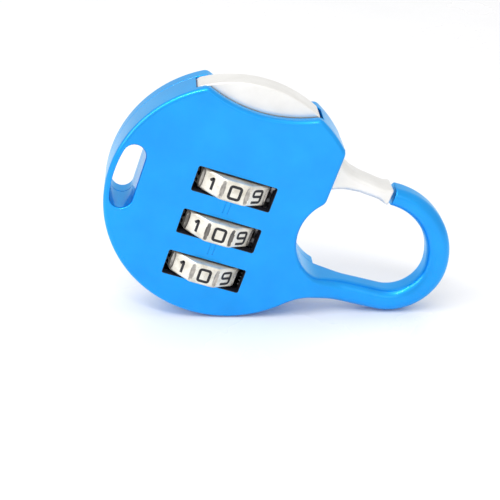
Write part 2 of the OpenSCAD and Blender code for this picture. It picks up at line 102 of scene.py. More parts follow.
# Lever
PIN_C, PIN_R = (-9.008, 15.987), 1.0
PAD_R = BODY_R - 0.05
PAD_LEFT, PAD_RIGHT = -11.208, 9.3
PAD_GAP = 0.7
HEEL_R = math.hypot(PAD_LEFT - PIN_C[0], math.sqrt(PAD_R ** 2 - PAD_LEFT ** 2) - PIN_C[1])
LEVER_Y0, LEVER_Y1 = -3.2, 1.7
LEVER_GAP = 0.3
PAD_EDGE, GATE_EDGE = 0.35, 1.25
TIP_FADE = 24.6          # the gate's rounding gets smaller from here to its tip

# Fasteners and reset button
RIVET_DIRS = [141, 226, 316]
RIVET_AT, RIVET_R, RIVET_HEAD_R, RIVET_HEAD_T = 16.9, 0.9, 1.6, 0.4
POST_R, PIN_BOSS_R = 2.0, 2.2
BORE_PLAY = 0.05
HEAD_GAP, HEAD_RIM = 0.004, 0.1
DIMPLE_R, DIMPLE_DEPTH = 0.5, 0.14
BUTTON_BORE = 1.75

# Camera: angles in degrees, distance and aim in disc radii
AZIMUTH, ELEVATION, LEAN = -3.75, 26.68, -2.35
VIEW_DISTANCE, VIEW_AIM = 9.625, (0.153, 0, -0.382)
LENS = 86.4

STEP = 2.5               # degrees between two points of an arc
SAME = 0.01              # points closer than this are one point
SHARP = math.cos(math.radians(28))


# ---- frame

def lock_axes():
    """The lock's origin and its u and w directions in the row frame, from the first dial's joint."""
    joint = next(j for j in frame["joints"] if j["name"] == "dial_1_spin")
    w = Vector(joint["axis"]).normalized()
    if w.z < 0:
        w = -w
    u = Vector((w.z, 0, -w.x))
    origin = Vector(joint["pos_m"]) - (u * DIAL_U + w * DIAL_W[0]) * 0.001
    return origin, u, w


ORIGIN, U_AXIS, W_AXIS = lock_axes()
TO_FRAME = np.array([list(U_AXIS), [0, 1, 0], list(W_AXIS)])


def to_frame(points):
    """Lock axes in millimetres to the row frame in metres."""
    return np.asarray(points, float) @ TO_FRAME * 0.001 + np.array(ORIGIN)


# ---- outlines

def polar(centre, radius, degrees):
    a = math.radians(degrees)
    return (centre[0] + radius * math.cos(a), centre[1] + radius * math.sin(a))


def arc(centre, radius, a0, a1, step=STEP):
    """Points on an arc, both ends included."""
    n = max(2, int(abs(a1 - a0) / step) + 1)
    return [polar(centre, radius, a0 + (a1 - a0) * i / n) for i in range(n + 1)]


def direction(point, centre=(0, 0)):
    return math.degrees(math.atan2(point[1] - centre[1], point[0] - centre[0])) % 360


def arc_between(centre, radius, start, end, turn, step=STEP):
    """The arc from one point to another, anticlockwise if turn is 1, clockwise if it is -1."""
    a0, a1 = direction(start, centre), direction(end, centre)
    sweep = (a1 - a0) * turn % 360
    return arc(centre, radius, a0, a0 + turn * sweep, step)


def at_u(centre, radius, u, side):
    """The point of a circle at this u, on its upper (1) or lower (-1) half."""
    return (u, centre[1] + side * math.sqrt(radius ** 2 - (u - centre[0]) ** 2))


def at_w(centre, radius, w, side):
    return (centre[0] + side * math.sqrt(radius ** 2 - (w - centre[1]) ** 2), w)


def meet(c0, r0, c1, r1, side):
    """Where two circles meet, left (1) or right (-1) of the way from the first centre to the second."""
    dx, dy = c1[0] - c0[0], c1[1] - c0[1]
    d = math.hypot(dx, dy)
    along = (d * d + r0 * r0 - r1 * r1) / (2 * d)
    off = side * math.sqrt(r0 * r0 - along * along)
    return (c0[0] + (dx * along - dy * off) / d, c0[1] + (dy * along + dx * off) / d)


def tidy(loop, closed=True):
    """Drops points that repeat their neighbour."""
    kept = [loop[0]]
    for p in loop[1:]:
        if math.dist(p, kept[-1]) > SAME:
            kept.append(p)
    if closed and math.dist(kept[0], kept[-1]) < SAME:
        kept.pop()
    return kept


def soften(loop, reach, closed=True, steps=5, keep=()):
    """Rounds the sharp corners of an outline, starting `reach` before each and ending `reach` after.
    Corners in keep stay sharp."""
    pts = [np.array(p, float) for p in tidy(loop, closed)]
    n = len(pts)
    out = []
    drop = set()
    curves = {}
    for i in range(n):
        if not closed and i in (0, n - 1):
            continue
        a, b, c = pts[i - 1], pts[i], pts[(i + 1) % n]
        d0, d1 = (b - a) / np.linalg.norm(b - a), (c - b) / np.linalg.norm(c - b)
        if d0 @ d1 > SHARP or any(math.dist(b, k) < 1e-4 for k in keep):
            continue
        before, lost0 = walk(pts, i, -1, reach, closed)
        after, lost1 = walk(pts, i, 1, reach, closed)
        curves[i] = [(1 - t) ** 2 * before + 2 * t * (1 - t) * b + t * t * after
                     for t in np.linspace(0, 1, steps + 1)]
        drop |= lost0 | lost1
    for i in range(n):
        if i in curves:
            out += [tuple(p) for p in curves[i]]
        elif i not in drop:
            out.append(tuple(pts[i]))
    return tidy(out, closed)


def walk(pts, i, way, reach, closed):
    """The point `reach` along the outline from corner i, and the points passed on the way."""
    n = len(pts)
    passed, here, left = set(), pts[i], reach
    k = i
    while True:
        k += way
        if not closed and k in (-1, n):
            return here, passed
        k %= n
        gap = np.linalg.norm(pts[k] - here)
        if gap > left * 1.02:
            return here + (pts[k] - here) * left / gap, passed
        passed.add(k)
        left -= gap
        here = pts[k]
        if left < 1e-6:
            return here, passed


def fade(x, start, end):
    t = min(max((x - start) / (end - start), 0), 1)
    return t * t * (3 - 2 * t)


# ---- meshes

class Shape:
    """Points, faces and a shading normal for each corner of each face."""

    def __init__(self):
        self.points, self.faces, self.normals, self.slots = [], [], [], []

    def point(self, p):
        self.points.append(tuple(p))
        return len(self.points) - 1

    def face(self, corners, normals, slot=0):
        """A face that is turned to face the way its normals point."""
        a, b, c = (np.array(self.points[k]) for k in corners[:3])
        mean = np.mean(normals, axis=0)
        if np.cross(b - a, c - a) @ mean < 0:
            corners, normals = corners[::-1], normals[::-1]
        self.faces.append(list(corners))
        self.normals.append([tuple(v) for v in normals])
        self.slots.append(slot)

    def build(self, name, materials):
        mesh = bpy.data.meshes.new(name)
        mesh.from_pydata([list(p) for p in to_frame(self.points)], [], self.faces)
        for m in materials:
            mesh.materials.append(m)
        mesh.polygons.foreach_set("material_index", self.slots)
        mesh.polygons.foreach_set("use_smooth", [True] * len(self.faces))
        turned = np.array([v for f in self.normals for v in f], float) @ TO_FRAME
        turned /= np.linalg.norm(turned, axis=1, keepdims=True)
        mesh.normals_split_custom_set([tuple(v) for v in turned])
        mesh.update()
        obj = bpy.data.objects.new(name, mesh)
        bpy.context.scene.collection.objects.link(obj)
        return obj


def area(loop):
    p = np.array(loop)
    q = np.roll(p, -1, axis=0)
    return float(np.sum(p[:, 0] * q[:, 1] - q[:, 0] * p[:, 1])) / 2


class Loop:
    """A closed outline with its outward directions, ready to be offset into the material."""

    def __init__(self, points, hole=False, flat_edge=None):
        points = tidy(points)
        if (area(points) > 0) == hole:
            points = points[::-1]
        self.p = np.array(points, float)
        nxt = np.roll(self.p, -1, axis=0) - self.p
        nxt /= np.linalg.norm(nxt, axis=1, keepdims=True)
        self.edge = np.stack([nxt[:, 1], -nxt[:, 0]], axis=1)
        weight = np.ones(len(points))
        if flat_edge is not None:
            mid = (self.p + np.roll(self.p, -1, axis=0)) / 2
            weight[np.argmin(np.linalg.norm(mid - flat_edge, axis=1))] = 0
        self.miter, self.smooth = [], []
        for i in range(len(points)):
            a, b, wa, wb = self.edge[i - 1], self.edge[i], weight[i - 1], weight[i]
            dot = a @ b
            if dot < SHARP or wa != wb:
                self.miter.append(np.linalg.solve(np.array([a, b]), np.array([wa, wb])))
            else:
                self.miter.append((a + b) / (1 + dot))
            self.smooth.append(dot >= SHARP)
        self.miter = np.array(self.miter)

    def normal(self, i, e):
        """Direction at point i on the edge e, which starts or ends there."""
        if not self.smooth[i]:
            return self.edge[e]
        v = self.edge[i - 1] + self.edge[i]
        return v / np.linalg.norm(v)


def profile(r0, r1, arcs=5):
    """Side of a plate from front to back: share of the front and back rounding, and direction."""
    rows = []
    for k in range(arcs + 1 if r0 is not None else 1):
        a = math.pi / 2 if r0 is None else math.pi / 2 * k / arcs
        rows.append((0, 1 - math.sin(a), 1 - math.cos(a), math.sin(a), -math.cos(a)))
    for k in range(arcs + 1 if r1 is not None else 1):
        a = math.pi / 2 if r1 is None else math.pi / 2 * (1 - k / arcs)
        rows.append((1, 1 - math.sin(a), 1 - math.cos(a), math.sin(a), math.cos(a)))
    return rows


def radii(loop, r):
    if r is None:
        return np.zeros(len(loop.p))
    if callable(r):
        return np.array([r(u) for u in loop.p[:, 0]])
    return np.full(len(loop.p), float(r))


def side(shape, loop, y0, y1, r0=None, r1=None, slot=0):
    """Wall along an outline with rounded edges. Returns the point numbers at the front and the back."""
    front, back = radii(loop, r0), radii(loop, r1)
    rows = profile(r0, r1)
    rings, shades = [], []
    for end, inset, depth, out, ahead in rows:
        r = back if end else front
        uw = loop.p - loop.miter * (r * inset)[:, None]
        y = (y1 - r * depth) if end else (y0 + r * depth)
        rings.append([shape.point((q[0], yy, q[1])) for q, yy in zip(uw, y)])
        shades.append((out, ahead))
    n = len(loop.p)
    for j in range(len(rings) - 1):
        for i in range(n):
            k = (i + 1) % n
            na, nb = loop.normal(i, i), loop.normal(k, i)
            corners = [rings[j][i], rings[j][k], rings[j + 1][k], rings[j + 1][i]]
            near, far = shades[j], shades[j + 1]
            normals = [(nrm[0] * out, ahead, nrm[1] * out)
                       for nrm, (out, ahead) in ((na, near), (nb, near), (nb, far), (na, far))]
            shape.face(corners, normals, slot)
    return rings[0], rings[-1]


def cap(shape, rings, facing, slot=0):
    """Flat face between outlines that lie in one plane."""
    flat = [[Vector((shape.points[i][0], shape.points[i][2], 0)) for i in ring] for ring in rings]
    numbers = [i for ring in rings for i in ring]
    for tri in tessellate_polygon(flat):
        shape.face([numbers[k] for k in tri], [(0, facing, 0)] * 3, slot)


def plate(shape, outline, y0, y1, r0=None, r1=None, holes=(), pockets=(), flat_edge=None,
          slots=(0, 0, 0)):
    """Closed solid between y0 and y1. Holes are (outline, r0, r1, slot), pockets (outline, depth).
    slots gives the materials of the front, the sides and the back."""
    f, b = side(shape, Loop(outline, flat_edge=flat_edge), y0, y1, r0, r1, slots[1])
    fronts, backs = [f], [b]
    for loop, h0, h1, slot in holes:
        f, b = side(shape, Loop(loop, hole=True), y0, y1, h0, h1, slot)
        fronts.append(f)
        backs.append(b)
    for loop, depth in pockets:
        f, floor = side(shape, Loop(loop, hole=True), y0, y0 + depth, slot=slots[0])
        fronts.append(f)
        cap(shape, [floor], -1, slots[0])
    cap(shape, fronts, -1, slots[0])
    cap(shape, backs, 1, slots[2])


def grid(shape, rows, slot=0, wrap=False, around=None):
    """Smooth surface through rows of points, each row closed on itself if wrap is set. It faces away
    from the points in around, or from the middle of each row."""
    g = np.array(rows, float)
    along = np.gradient(g, axis=0)
    if wrap:
        across = (np.roll(g, -1, axis=1) - np.roll(g, 1, axis=1)) / 2
    else:
        across = np.gradient(g, axis=1)
    nrm = np.cross(across, along)
    length = np.linalg.norm(nrm, axis=2, keepdims=True)
    nrm = nrm / np.where(length < 1e-12, 1, length)
    middle = g.mean(axis=(1,), keepdims=True) if around is None else np.array(around, float)
    if np.sum(nrm * (g - middle)) < 0:
        nrm = -nrm
    ids = [[shape.point(p) for p in row] for row in g]
    n, m = g.shape[:2]
    for j in range(n - 1):
        for i in range(m if wrap else m - 1):
            k = (i + 1) % m
            shape.face([ids[j][i], ids[j][k], ids[j + 1][k], ids[j + 1][i]],
                       [nrm[j][i], nrm[j][k], nrm[j + 1][k], nrm[j + 1][i]], slot)
    return ids


def lid(shape, ids, normal, slot=0):
    """Closes a ring of points with triangles from its middle."""
    middle = shape.point(np.mean([shape.points[i] for i in ids], axis=0))
    for i, a in enumerate(ids):
        shape.face([a, ids[(i + 1) % len(ids)], middle], [normal] * 3, slot)


# ---- outlines of the lock

def slot_outline(grow=0.0):
    right = SLOT_RIGHT + grow
    half = SLOT_HALF + grow
    corner = SLOT_CORNER + grow
    centre_u = SLOT_RIGHT - SLOT_CORNER
    outer = SLOT_OUT_R + grow
    low, high = at_w((0, 0), outer, -half, -1), at_w((0, 0), outer, half, -1)
    loop = arc((centre_u, corner - half), corner, -90, 0, 9)
    loop += arc((centre_u, half - corner), corner, 0, 90, 9)
    loop += arc_between((0, 0), outer, high, low, 1, 2)
    return soften(loop, 1.5) if grow == 0 else tidy(loop)


def window_outline(i):
    half_l, half_h = WINDOW_L / 2, WINDOW_H / 2
    loop = [(DIAL_U + a * half_l, DIAL_W[i] + b * half_h)
            for a, b in ((-1, -1), (1, -1), (1, 1), (-1, 1))]
    return soften(loop, 0.3, steps=4)


def mark_outlines():
    """Two fine grooves under each of the upper windows."""
    loops = []
    for i in range(2):
        top = DIAL_W[i] - WINDOW_H / 2 - 0.25
        for u in (DIAL_U - 0.62, DIAL_U + 0.24):
            loops.append([(u, top - 2.2), (u + 0.16, top - 2.2), (u + 0.16, top), (u, top)])
    return loops


RIM_CORNER = at_u((0, 0), BODY_R, SIDE_U, 1)
WALL_FOOT = at_u(LOOP_C, LOOP_R, SIDE_U, 1)
SCOOP_RIGHT = meet((0, 0), BODY_R, SCOOP_C, SCOOP_R, -1)
SCOOP_LEFT = meet((0, 0), BODY_R, SCOOP_C, SCOOP_R, 1)


def top_right():
    """From the foot of the side wall over the corner and the scoop to the rim at the left."""
    return ([WALL_FOOT] + arc_between((0, 0), BODY_R, RIM_CORNER, SCOOP_RIGHT, 1)
            + arc_between(SCOOP_C, SCOOP_R, SCOOP_RIGHT, SCOOP_LEFT, -1, 1.5))


def root_fillet():
    """Centre of the fillet between the rim and the hook's lower side."""
    a = math.radians(ARM_TILT)
    along, down = np.array([math.cos(a), math.sin(a)]), np.array([math.sin(a), -math.cos(a)])
    line = np.array(HOOK_C) + (BEND_OUT + ROOT_R) * down
    b = line @ along
    return tuple(line + along * (-b + math.sqrt(b * b - line @ line + (BODY_R + ROOT_R) ** 2)))


ROOT_C = root_fillet()
ROOT_LOW = polar((0, 0), BODY_R, direction(ROOT_C))
ROOT_HIGH = at_u(LOOP_C, LOOP_R, ROOT_LOW[0], -1)
ROOT_CUT = ((ROOT_LOW[0] + ROOT_HIGH[0]) / 2, (ROOT_LOW[1] + ROOT_HIGH[1]) / 2)
LOOP_TIP = meet((0, 0), BODY_R, LOOP_C, LOOP_R, -1)


def front_outline():
    """Front plate, up to the straight cut where the hook takes over."""
    loop = [ROOT_LOW] + arc_between(LOOP_C, LOOP_R, ROOT_HIGH, WALL_FOOT, -1)
    loop += top_right()
    loop += arc_between((0, 0), BODY_R, SCOOP_LEFT, ROOT_LOW, 1)
    return tidy(loop)


def cover_outline():
    loop = arc_between(LOOP_C, LOOP_R, LOOP_TIP, WALL_FOOT, -1) + top_right()
    return tidy(loop + arc_between((0, 0), BODY_R, SCOOP_LEFT, LOOP_TIP, 1))


def cavity_left(start):
    """Inside of the rim from `start` round the left to the bottom, past the slot's wall."""
    half = SLOT_HALF + SLOT_WALL
    high, low = at_w((0, 0), CAVITY_R, half, -1), at_w((0, 0), CAVITY_R, -half, -1)
    corner = SLOT_CORNER + SLOT_WALL
    centre_u, centre_w = SLOT_RIGHT - SLOT_CORNER, SLOT_HALF - SLOT_CORNER
    path = arc_between((0, 0), CAVITY_R, start, high, 1)
    path += arc((centre_u, centre_w), corner, 90, 0, 10)
    path += arc((centre_u, -centre_w), corner, 0, -90, 10)
    return path + [low]


CAVITY_ROOT = at_u((0, 0), CAVITY_R, ROOT_U, -1)
LOOP_WALL_LOW = at_u(LOOP_C, LOOP_R + SIDE_T, ROOT_U, -1)


def cover_cavity():
    """Space inside the cover, all round."""
    inner_u = SIDE_U - SIDE_T
    grown = SCOOP_R + RIM_T
    right = meet((0, 0), CAVITY_R, SCOOP_C, grown, -1)
    left = meet((0, 0), CAVITY_R, SCOOP_C, grown, 1)
    foot = at_u(LOOP_C, LOOP_R + SIDE_T, inner_u, 1)
    loop = arc_between(LOOP_C, LOOP_R + SIDE_T, LOOP_WALL_LOW, foot, -1)
    loop += arc_between((0, 0), CAVITY_R, at_u((0, 0), CAVITY_R, inner_u, 1), right, 1)
    loop += arc_between(SCOOP_C, grown, right, left, -1)
    path = cavity_left(left)
    return tidy(loop + path + arc_between((0, 0), CAVITY_R, path[-1], CAVITY_ROOT, 1))


# ---- front housing

def near_strip(u):
    """Rounding of the slot's front edge, less beside the thin strip at the rim."""
    return STRIP_EDGE + (SLOT_EDGE - STRIP_EDGE) * fade(u, -19.6, -18.4)


def front_plate(shape):
    outline = soften(front_outline(), 0.7, steps=6, keep=(ROOT_LOW, ROOT_HIGH))
    holes = [(slot_outline(), near_strip, None, 0)]
    # the window walls take slot 1, the painted shade
    holes += [(window_outline(i), 0.1, None, 1) for i in range(3)]
    pockets = [(loop, 0.14) for loop in mark_outlines()]
    plate(shape, outline, Y_FRONT, Y_INNER, EDGE, None, holes, pockets, flat_edge=ROOT_CUT,
          slots=(0, 0, 1))


def rim_left(shape):
    """Rim wall from the lever's heel round the left to the reset button."""
    heel = HEEL_R + LEVER_GAP
    high_out = meet((0, 0), BODY_R, PIN_C, heel, 1)
    high_in = meet((0, 0), CAVITY_R, PIN_C, heel, 1)
    button = BLOCK_U[0]
    low_in, low_out = at_u((0, 0), CAVITY_R, button, -1), at_u((0, 0), BODY_R, button, -1)
    inner = cavity_left(high_in)
    inner += arc_between((0, 0), CAVITY_R, inner[-1], low_in, 1)
    outline = arc_between((0, 0), BODY_R, high_out, low_out, 1) + inner[::-1]
    outline += arc_between(PIN_C, heel, high_in, high_out, -1, 8)
    plate(shape, outline, Y_INNER, Y_SPLIT, None, SEAM, [(slot_outline(), None, SEAM, 0)])


def rim_right(shape):
    """Rim wall from the reset button to the lever's passage, solid behind the hook's root."""
    button = BLOCK_U[1]
    low_in, low_out = at_u((0, 0), CAVITY_R, button, -1), at_u((0, 0), BODY_R, button, -1)
    wall_out = at_w(LOOP_C, LOOP_R, PASSAGE_LOW, -1)
    wall_in = at_w(LOOP_C, LOOP_R + SIDE_T, PASSAGE_LOW, -1)
    outline = arc_between((0, 0), BODY_R, low_out, ROOT_LOW, 1)
    outline += arc_between(LOOP_C, LOOP_R, ROOT_HIGH, wall_out, -1)
    outline += arc_between(LOOP_C, LOOP_R + SIDE_T, wall_in, LOOP_WALL_LOW, 1)
    outline += arc_between((0, 0), CAVITY_R, CAVITY_ROOT, low_in, -1)
    plate(shape, outline, Y_INNER, Y_SPLIT, None, SEAM, flat_edge=ROOT_CUT)


def rim_corner(shape):
    """Rim between the pad's right end and the lever's passage."""
    left = PAD_RIGHT + PAD_GAP
    inner_u = SIDE_U - SIDE_T
    outline = [(SIDE_U, PASSAGE_HIGH)]
    outline += arc_between((0, 0), BODY_R, RIM_CORNER, at_u((0, 0), BODY_R, left, 1), 1)
    outline += arc_between((0, 0), CAVITY_R, at_u((0, 0), CAVITY_R, left, 1),
                           at_u((0, 0), CAVITY_R, inner_u, 1), -1)
    outline += [(inner_u, PASSAGE_HIGH)]
    plate(shape, soften(outline, 0.2), Y_INNER, Y_SPLIT, None, SEAM)


BLOCK_U = (DIAL_U - 2.3, DIAL_U + 2.3)


def bored_rim(shape):
    """The stretch of rim that the reset button comes through, with its bore."""
    n = 48
    half_u = BLOCK_U[1] - DIAL_U
    border, circle = [], []
    for k in range(n):
        a = 2 * math.pi * (k + 0.5) / n
        c, s = math.cos(a), math.sin(a)
        scale = 1 / max(abs(c), abs(s))
        border.append((DIAL_U + half_u * c * scale, (Y_SPLIT if s > 0 else -Y_INNER) * s * scale))
        circle.append((DIAL_U + BUTTON_BORE * c, BUTTON_BORE * s))

    def lift(p, radius):
        return (p[0], p[1], -math.sqrt(radius ** 2 - p[0] ** 2))

    def through(p, q):
        return [lift(p, BODY_R), lift(q, BODY_R), lift(q, CAVITY_R), lift(p, CAVITY_R)]

    for radius, way in ((BODY_R, 1), (CAVITY_R, -1)):
        for k in range(n):
            q = (k + 1) % n
            corners = [lift(p, radius) for p in (border[k], border[q], circle[q], circle[k])]
            normals = [(way * c[0] / radius, 0, way * c[2] / radius) for c in corners]
            shape.face([shape.point(c) for c in corners], normals, 0 if way > 0 else 1)
    for k in range(n):
        q = (k + 1) % n
        bore = through(circle[k], circle[q])
        shape.face([shape.point(c) for c in bore], [(DIAL_U - c[0], -c[1], 0) for c in bore], 1)
        mid_u = (border[k][0] + border[q][0]) / 2 - DIAL_U
        mid_y = (border[k][1] + border[q][1]) / 2
        if abs(mid_u) > half_u - SAME:
            flat = (math.copysign(1, mid_u), 0, 0)
        else:
            flat = (0, math.copysign(1, mid_y), 0)
        shape.face([shape.point(c) for c in through(border[k], border[q])], [flat] * 4, 0)


def hook_edges():
    """Pairs of points on the hook's inner and outer edges, from the body to the nose."""
    tilt = math.tan(math.radians(ARM_TILT))
    arm = ARM_TILT - 90
    in_end, out_end = polar(HOOK_C, BEND_IN, arm), polar(HOOK_C, BEND_OUT, arm)
    fillet_end = polar(ROOT_C, ROOT_R, 90 + ARM_TILT)
    pairs = []
    count = 36
    for k in range(count):
        t = (k / count) ** 1.2
        u_in = ROOT_LOW[0] + (in_end[0] - ROOT_LOW[0]) * t
        u_out = ROOT_LOW[0] + (out_end[0] - ROOT_LOW[0]) * t
        line = in_end[1] + (u_in - in_end[0]) * tilt
        u_circle = min(u_in, LOOP_C[0])
        circle = at_u(LOOP_C, LOOP_R, u_circle, -1)[1]
        blend = 0.16 * fade(u_in, ROOT_LOW[0], ROOT_LOW[0] + 2)
        w_in = (line + circle + math.sqrt((line - circle) ** 2 + blend ** 2)) / 2
        if k == 0:
            w_in = ROOT_HIGH[1]
        if u_out < fillet_end[0]:
            w_out = at_u(ROOT_C, ROOT_R, u_out, 1)[1]
        else:
            w_out = out_end[1] + (u_out - out_end[0]) * tilt
        pairs.append(((u_in, w_in), (u_out, w_out)))
    for k in range(30):
        a = arm + (NOSE_A - arm) * k / 30
        pairs.append((polar(HOOK_C, BEND_IN, a), polar(HOOK_C, BEND_OUT, a)))
    for k in range(25):
        t = k / 24
        pairs.append((polar(NOSE_IN_C, NOSE_IN_R, NOSE_A + (NOSE_END - NOSE_A) * t),
                      polar(NOSE_OUT_C, NOSE_OUT_R, NOSE_A + (NOSE_END + NOSE_SLANT - NOSE_A) * t)))
    return pairs


def hook_section(inner, outer, arcs=8):
    """Ring round the hook: a rectangle with rounded corners, flush with the body near the root."""
    inner, outer = np.array(inner), np.array(outer)
    width = np.linalg.norm(outer - inner)
    along = (outer - inner) / width
    u = inner[0] if inner[0] < HOOK_C[0] else FADE_END
    t = fade(u, FADE_START, FADE_END)
    y0 = Y_FRONT + (HOOK_Y0 - Y_FRONT) * t
    full = min(HOOK_EDGE, 0.46 * width)
    front = EDGE + (full - EDGE) * t
    back = SEAM + (full - SEAM) * fade(u, 18.5, FADE_END)
    ring = []
    for cs, cy, r, a0 in ((0, y0, front, 180), (width, y0, front, 270),
                          (width, Y_SPLIT, back, 0), (0, Y_SPLIT, back, 90)):
        centre_s = r if cs == 0 else width - r
        centre_y = cy + r if cy == y0 else cy - r
        for k in range(arcs + 1):
            s, y = polar((centre_s, centre_y), r, a0 + 90 * k / arcs)
            p = inner + along * s
            ring.append((p[0], y, p[1]))
    return ring


def hook(shape):
    rings = [hook_section(a, b) for a, b in hook_edges()]
    last = np.array(rings[-1])
    ids = grid(shape, rings, wrap=True)
    ahead = last.mean(axis=0) - np.array(rings[-3]).mean(axis=0)
    ahead /= np.linalg.norm(ahead)
    middle = last.mean(axis=0)
    rows = [last]
    for k in range(1, 5):
        a = math.pi / 2 * k / 4
        narrowed = (last - middle) * (1 - NOSE_TAPER * (1 - math.cos(a)))
        rows.append(middle + narrowed + ahead * NOSE_BULGE * math.sin(a))
    ends = grid(shape, rows, wrap=True, around=[[middle - ahead]] * len(rows))
    lid(shape, ends[-1], tuple(ahead))
    lid(shape, ids[0], (-1, 0, 0))


def rivet_place(k):
    return polar((0, 0), RIVET_AT, RIVET_DIRS[k])


def ring_outline(centre, radius):
    return tidy(arc(centre, radius, 0, 360, 12))


def box_outline(u0, w0, u1, w1):
    return [(u0, w0), (u1, w0), (u1, w1), (u0, w1)]


def inner_posts(shape):
    """Rivet posts, shaft ribs, bar guides and the seat of the bar's spring."""
    for k in range(len(RIVET_DIRS)):
        place = rivet_place(k)
        plate(shape, ring_outline(place, POST_R), Y_INNER, Y_SPLIT,
              holes=[(ring_outline(place, RIVET_R), None, None, 1)], slots=(1, 1, 1))
    for corners, depth in RIBS:
        plate(shape, box_outline(*corners), Y_INNER, depth, slots=(1, 1, 1))


def front_housing():
    shape = Shape()
    front_plate(shape)
    rim_left(shape)
    rim_right(shape)
    rim_corner(shape)
    bored_rim(shape)
    hook(shape)
    inner_posts(shape)
    # slot 1 is painted shade on the shell's inside, posts, ribs and window walls
    obj = shape.build("front_housing_cast", [blue_paint("housing_blue"), painted_shade_inside()])
    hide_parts("front_housing")
    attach(obj, "housing")


# ---- back cover and rivets

def back_cover():
    shape = Shape()
    outline = soften(cover_outline(), 0.7, steps=6)
    slot = slot_outline()
    bores = [ring_outline(rivet_place(k), RIVET_R + BORE_PLAY) for k in range(len(RIVET_DIRS))]
    # the window walls take slot 1, the painted shade
    holes = [(window_outline(i), None, 0.1, 1) for i in range(3)]
    holes += [(slot, None, near_strip, 0)] + [(b, None, None, 1) for b in bores]
    plate(shape, outline, Y_COVER, Y_BACK, None, EDGE, holes, slots=(1, 0, 0))
    plate(shape, outline, Y_SPLIT, Y_COVER, SEAM, None,
          [(slot, SEAM, None, 0), (cover_cavity(), None, None, 1)], slots=(0, 0, 1))
    bosses = [(rivet_place(k), POST_R, RIVET_R + BORE_PLAY) for k in range(len(RIVET_DIRS))]
    for place, radius, bore in bosses + [(PIN_C, PIN_BOSS_R, PIN_R)]:
        plate(shape, ring_outline(place, radius), Y_SPLIT, Y_COVER,
              holes=[(ring_outline(place, bore), None, None, 1)], slots=(1, 1, 1))
    # slot 1 is painted shade on the cover's inside, bosses, bores and window walls
    obj = shape.build("back_cover_cast", [blue_paint("cover_blue"), painted_shade_inside()])
    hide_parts("back_cover")
    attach(obj, "housing")


def turned(section, place, sides=40):
    """Turned part round an axis along y: section is a list of (radius, y) from the front to the back."""
    rows = []
    for r, y in section:
        rows.append([(place[0] + r * math.cos(2 * math.pi * k / sides), y,
                      place[1] + r * math.sin(2 * math.pi * k / sides)) for k in range(sides)])
    return rows


def cover_rivets():
    shape = Shape()
    base, top = Y_BACK, Y_BACK + RIVET_HEAD_T
    for k in range(len(RIVET_DIRS)):
        place = rivet_place(k)
        shank = turned([(RIVET_R, Y_INNER + 1.1), (RIVET_R, base)], place)
        ids = grid(shape, shank, wrap=True)
        lid(shape, ids[0], (0, -1, 0))
        under = turned([(RIVET_R, base + HEAD_GAP), (RIVET_HEAD_R, base + HEAD_GAP)], place)
        grid(shape, under, wrap=True, around=[[(place[0], base + 1, place[1])]] * 2)
        dome = [(RIVET_HEAD_R, base + HEAD_GAP), (RIVET_HEAD_R, base + HEAD_RIM)]
        for j in range(1, 7):
            a = math.pi / 2 * j / 6
            dome.append((DIMPLE_R + (RIVET_HEAD_R - DIMPLE_R) * math.cos(a),
                         base + HEAD_RIM + (RIVET_HEAD_T - HEAD_RIM) * math.sin(a)))
        dome += [(0.42, top - 0.04), (0.3, top - DIMPLE_DEPTH)]
        ids = grid(shape, turned(dome, place), wrap=True,
                   around=[[(place[0], base - 1, place[1])]] * len(dome))
        lid(shape, ids[-1], (0, 1, 0))
    obj = shape.build("cover_rivet_heads", [bright_steel()])
    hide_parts("cover_rivets")
    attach(obj, "housing")


# ---- lever

def tip_points():
    low = np.array(polar(NOSE_IN_C, NOSE_IN_R, 91)) + (-0.6, 0.1)
    high = np.array(polar(NOSE_OUT_C, NOSE_OUT_R, 91 + NOSE_SLANT)) - (0.6, 0.1)
    return tuple(low), tuple(high)


def lever_outline():
    """Heel round the pin, thumb pad along the rim, arm over the dials and gate."""
    low, high = tip_points()
    wall = SIDE_U + 0.7
    span = low[0] - wall
    gate, top = 7.3, 10.75
    belly = PIN_C[1] - 2.6
    press, step_w = 5.1, PIN_C[1] - 5
    pad_start, pad_end = at_u((0, 0), PAD_R, PAD_RIGHT, 1), at_u((0, 0), PAD_R, PAD_LEFT, 1)
    loop = arc_between((0, 0), PAD_R, pad_start, pad_end, 1, 1.5)
    loop += arc_between(PIN_C, HEEL_R, pad_end, polar(PIN_C, HEEL_R, 290), 1, 6)
    loop += [(press - 0.7, belly), (press - 0.5, 9.4), (press + 0.5, 9.4), (press + 1.0, step_w),
             (10.3, step_w), (12.6, gate + 0.3), (wall, gate), (wall + 0.22 * span, gate + 0.65),
             (wall + 0.46 * span, gate + 0.9), (wall + 0.78 * span, gate + 0.7), low, high,
             (wall + 0.75 * span, top + 0.05), (wall + 0.4 * span, top + 0.45),
             (wall + 0.2 * span, top + 0.9), (wall, top + 1.9), (SIDE_U - SIDE_T, PASSAGE_HIGH - 0.25),
             (SIDE_U - SIDE_T - 2, 14.5), (PAD_RIGHT + 0.4, 16.0), (PAD_RIGHT, 16.5)]
    return loop


def lever_edge(u):
    """Rounding of the lever's edges: small on the pad, full on the gate, less at its tip."""
    gate = fade(u, 13.5, 17.5) * (1 - fade(u, TIP_FADE, TIP_FADE + 1.2))
    return PAD_EDGE + (GATE_EDGE - PAD_EDGE) * gate


def lever():
    shape = Shape()
    outline = resample(soften(lever_outline(), 0.45), 0.5)
    bore = ring_outline(PIN_C, PIN_R + BORE_PLAY)
    plate(shape, outline, LEVER_Y0, LEVER_Y1, lever_edge, lever_edge, [(bore, 0.15, 0.15, 0)])
    obj = shape.build("lever_satin", [satin_silver()])
    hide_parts("lever")
    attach(obj, "lever")


